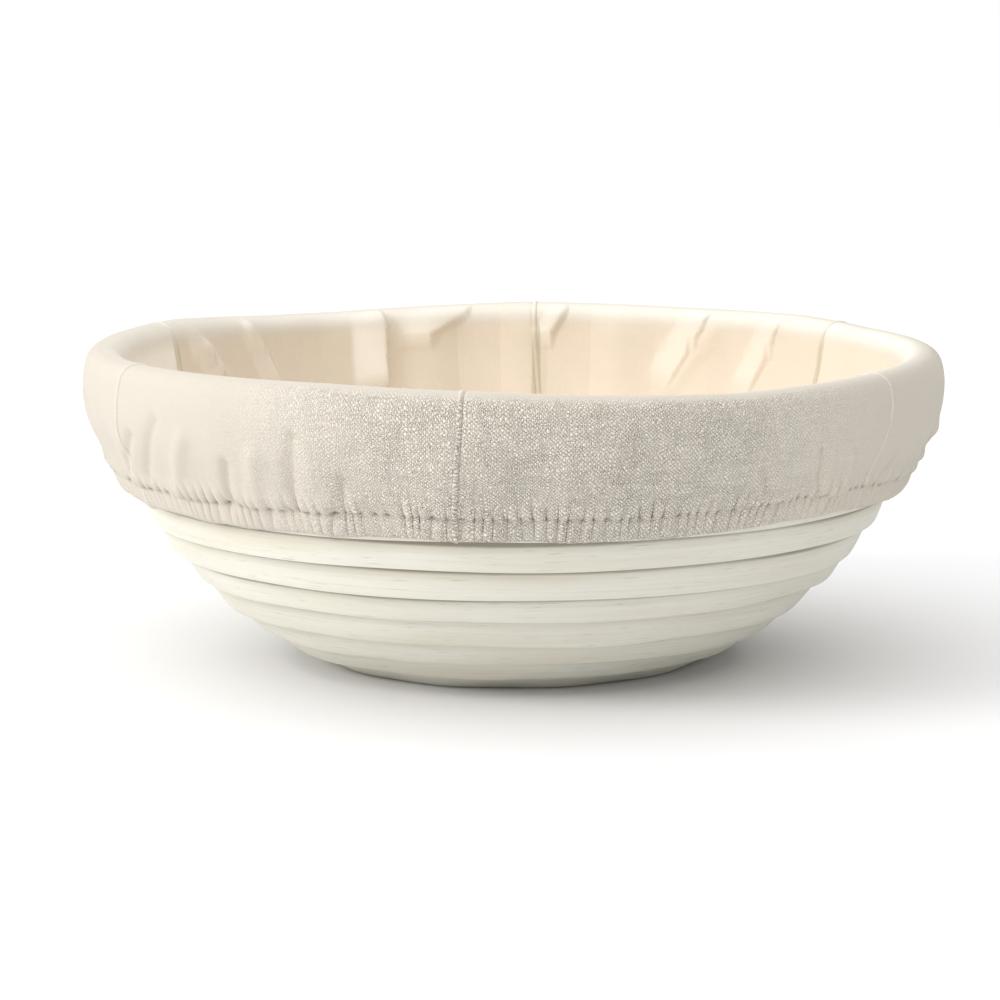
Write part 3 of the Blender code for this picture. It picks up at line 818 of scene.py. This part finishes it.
def hem_stitches():
    """One short run of thread between each needle hole and the next. Its ends dive into the cloth."""
    points, grain, faces = [], [], []
    sides, beads = 6, 7
    upwards = np.array([0, 0, 1.0])
    turn = np.linspace(-0.1, 2 * np.pi + 0.1, 20001)
    holes = np.interp(2 * np.pi * np.arange(GATHERS + 1), gather_phase(turn), turn)
    for k in range(GATHERS):
        middle = (holes[k] + holes[k + 1]) / 2
        half = (holes[k + 1] - holes[k]) / 2 * STITCH_SHARE
        angle = np.linspace(middle - half, middle + half, beads)
        run = cloth_points(angle, [stitch_row])[0]
        out = np.stack([np.cos(angle), np.sin(angle), np.zeros(beads)], -1)
        lift = STITCH_PROUD - STITCH_DIVE * (np.abs(np.linspace(-1, 1, beads)) ** 3)
        centre = run.mean(0) * STITCH_TAUT + run * (1 - STITCH_TAUT) + out * lift[:, None]
        for bead in range(beads):
            for side in range(sides):
                way = 2 * np.pi * side / sides
                around = out[bead] * np.cos(way) + upwards * np.sin(way)
                points.append(centre[bead] + STITCH_RADIUS * around)
                grain.append((angle[bead] * CLOTH_RADIUS, way * STITCH_RADIUS, 0.0))
        first = k * beads * sides
        for bead in range(beads - 1):
            for side in range(sides):
                a = first + bead * sides + side
                b = first + bead * sides + (side + 1) % sides
                faces.append((a, b, b + sides, a + sides))
        faces.append(tuple(first + s for s in range(sides))[::-1])
        faces.append(tuple(first + (beads - 1) * sides + s for s in range(sides)))
    mesh = bpy.data.meshes.new("hem_stitches")
    mesh.from_pydata([tuple(p) for p in points], [], faces)
    carry(mesh, "grain", grain)
    mesh.shade_smooth()
    return put("hem_stitches", mesh)


def thread_material():
    material, tree, shader = new_material("thread")
    where = carried(tree, "grain")
    ply = noise(tree, stretched(tree, where, (3200.0, 5200.0, 1.0)), 1.0, 2.0, 0.5)
    strand = spread(tree, ply, 0.35, 0.65)
    colour = blend_colours(tree, strand, (0.80, 0.76, 0.67, 1.0), (0.58, 0.53, 0.44, 1.0))
    bump = add(tree, "ShaderNodeBump", {}, Strength=0.6, Distance=0.0001, Height=ply)
    tree.links.new(colour, shader.inputs["Base Color"])
    tree.links.new(bump.outputs["Normal"], shader.inputs["Normal"])
    shader.inputs["Roughness"].default_value = 0.85
    return material


stitches = hem_stitches()
stitches.data.materials.append(thread_material())
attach(stitches, "liner")
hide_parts("hem_thread")

# ---------------------------------------------------------------------------------------------
# Studio. A white floor under a large soft key light from the upper left, with a pale room all
# round, and the camera a little above the rim.
# ---------------------------------------------------------------------------------------------


def floor_material():
    material, tree, shader = new_material("floor")
    place = add(tree, "ShaderNodeTexCoord").outputs["Object"]
    mottle = noise(tree, place, 9.0, 2.0, 0.5)
    colour = blend_colours(tree, mottle, (0.91, 0.91, 0.915, 1.0), (0.89, 0.89, 0.895, 1.0))
    tree.links.new(colour, shader.inputs["Base Color"])
    shader.inputs["Roughness"].default_value = 0.9
    shader.inputs["Specular IOR Level"].default_value = 0.1
    return material


ground = bpy.data.meshes.new("floor")
ground.from_pydata([(-20, -20, 0), (20, -20, 0), (20, 40, 0), (-20, 40, 0)], [], [(0, 1, 2, 3)])
ground.materials.append(floor_material())
floor = put("floor", ground)

SKY_LOW, SKY_HIGH = 0.18, 1.52

world = bpy.data.worlds.new("studio")
world.use_nodes = True
sky = world.node_tree
towards = add(sky, "ShaderNodeTexCoord").outputs["Generated"]
brightest = add(
    sky, "ShaderNodeVectorMath", {"operation": "DOT_PRODUCT"}, _0=towards, _1=(-0.30, -0.05, 0.95)
).outputs["Value"]
strength = add(
    sky, "ShaderNodeMapRange", {},
    Value=brightest, From_Min=-0.25, From_Max=1.0, To_Min=SKY_LOW, To_Max=SKY_HIGH,
).outputs[0]
sky.links.new(strength, sky.nodes["Background"].inputs["Strength"])
sky.nodes["Background"].inputs["Color"].default_value = (1.0, 1.0, 1.0, 1.0)
bpy.context.scene.world = world


def soft_light(name, place, aim, size, power, colour):
    lamp = bpy.data.lights.new(name, "AREA")
    lamp.shape = "DISK"
    lamp.size = size
    lamp.energy = power
    lamp.color = colour
    thing = put(name, lamp)
    thing.location = place
    thing.rotation_euler = (Vector(aim) - Vector(place)).to_track_quat("-Z", "Y").to_euler()


soft_light("key", (-1.55, -0.65, 0.85), (0.0, 0.0, 0.04), 0.8, 12.3, (1.0, 0.99, 0.975))

LOOK_DOWN = math.radians(8.69)

lens = bpy.data.cameras.new("camera")
lens.lens = 137.3
lens.sensor_width = 36.0
lens.clip_start = 0.05
lens.clip_end = 60.0
camera = put("camera", lens)
camera.location = (-0.0035, -1.0, 0.1938)
camera.rotation_euler = (math.radians(90.0) - LOOK_DOWN, 0.0, 0.0)
bpy.context.scene.camera = camera
bpy.context.scene.view_settings.view_transform = "Standard"
bpy.context.scene.view_settings.look = "None"
